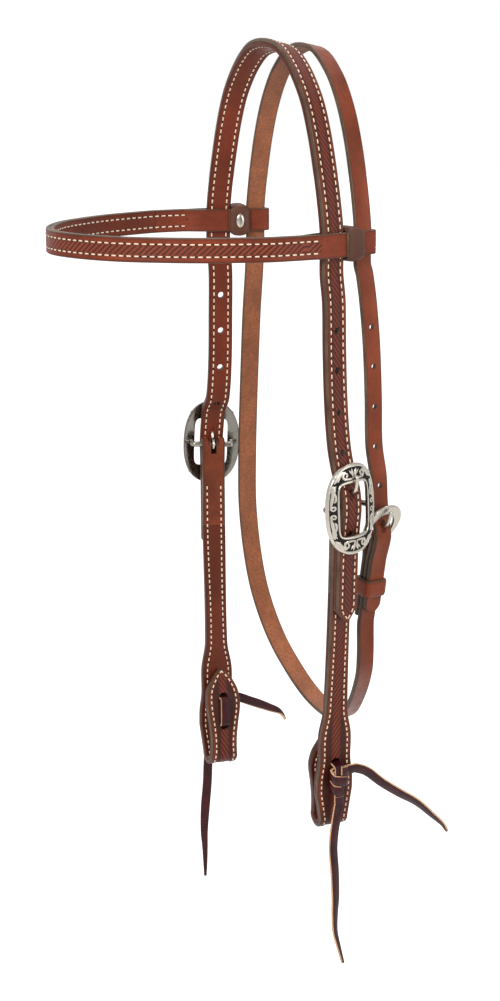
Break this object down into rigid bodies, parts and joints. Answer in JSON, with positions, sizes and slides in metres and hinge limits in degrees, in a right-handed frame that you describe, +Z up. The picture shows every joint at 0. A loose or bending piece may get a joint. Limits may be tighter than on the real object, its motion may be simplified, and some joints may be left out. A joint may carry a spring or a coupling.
{
  "type": "western headstall",
  "caption": "Stitched leather western headstall with a browband, a throatlatch, oval engraved cheek buckles and lace-tied bit ends, hanging as on a horse's head.",
  "frame": {"origin": "the point of the crown's underside that rests on the horse's poll, at the top of the arch", "axes": "+Z up; -Y towards the horse's nose, where the browband is; +X towards the horse's near (left) side, where the throatlatch buckles"},
  "size_m": [0.2226, 0.2449, 0.6001],
  "materials": {
    "stamped_leather": "reddish brown harness leather, oiled satin, stamped between two rows of cream stitching",
    "lining_leather": "smooth red-brown lining leather with burnished grey-brown edges",
    "wrap_leather": "smooth red-brown leather pulled tight round the plies",
    "throat_leather": "chestnut grain outside, paler suede flesh side",
    "lace_leather": "burgundy latigo lace with tan cut edges",
    "engraved_silver": "antiqued silver, polished high parts and blackened channels",
    "bright_steel": "polished steel",
    "satin_steel": "satin steel"
  },
  "bodies": {
    "crown": {"crown_outer": "stamped_leather", "crown_lining": "lining_leather", "near_buckle_frame": "engraved_silver", "off_buckle_frame": "engraved_silver", "throat_strap": "throat_leather", "throat_buckle_frame": "satin_steel"},
    "near_prong": {"near_buckle_prong": "bright_steel"},
    "off_prong": {"off_buckle_prong": "bright_steel"},
    "throat_prong": {"throat_buckle_prong": "satin_steel"},
    "near_cheek": {"near_cheek_outer": "stamped_leather", "near_cheek_lining": "lining_leather", "near_tie_core": "lace_leather", "near_tie_wrap": "lace_leather", "near_tie_long_tail": "lace_leather", "near_tie_short_tail": "lace_leather"},
    "off_cheek": {"off_cheek_outer": "stamped_leather", "off_cheek_lining": "lining_leather", "off_tie_core": "lace_leather", "off_tie_wrap": "lace_leather", "off_tie_long_tail": "lace_leather", "off_tie_short_tail": "lace_leather"},
    "browband": {"browband_outer": "stamped_leather", "browband_lining": "lining_leather", "near_loop_wrap": "wrap_leather", "off_loop_wrap": "wrap_leather", "near_wrap_rivet": "bright_steel", "off_wrap_rivet": "bright_steel"},
    "throat_keeper": {"throat_keeper": "throat_leather"}
  },
  "joints": [
    {"name": "near_cheek_swing", "type": "hinge", "parent": "crown", "child": "near_cheek", "pos_m": [0.0955, 0.0012, -0.2763], "axis": [-0.259, 0.965, 0.0404], "range_deg": [0, 15]},
    {"name": "off_cheek_swing", "type": "hinge", "parent": "crown", "child": "off_cheek", "pos_m": [-0.0955, -0.0012, -0.2727], "axis": [-0.259, -0.965, 0.0404], "range_deg": [0, 15]},
    {"name": "near_prong_lift", "type": "hinge", "parent": "crown", "child": "near_prong", "pos_m": [0.0955, 0.0012, -0.2763], "axis": [-0.259, 0.965, 0.0404], "range_deg": [0, 5]},
    {"name": "off_prong_lift", "type": "hinge", "parent": "crown", "child": "off_prong", "pos_m": [-0.0955, -0.0012, -0.2727], "axis": [-0.259, -0.965, 0.0404], "range_deg": [0, 4.5]},
    {"name": "throat_prong_lift", "type": "hinge", "parent": "crown", "child": "throat_prong", "pos_m": [0.0825, 0.0324, -0.3025], "axis": [-0.2079, 0.9781, 0], "range_deg": [0, 4]},
    {"name": "browband_slide", "type": "slide", "parent": "crown", "child": "browband", "axis": [0, 0, 1], "range_m": [-0.006, 0.001]},
    {"name": "keeper_slide", "type": "slide", "parent": "crown", "child": "throat_keeper", "axis": [0.1699, 0.0361, 0.9848], "range_m": [-0.006, 0.006]}
  ]
}
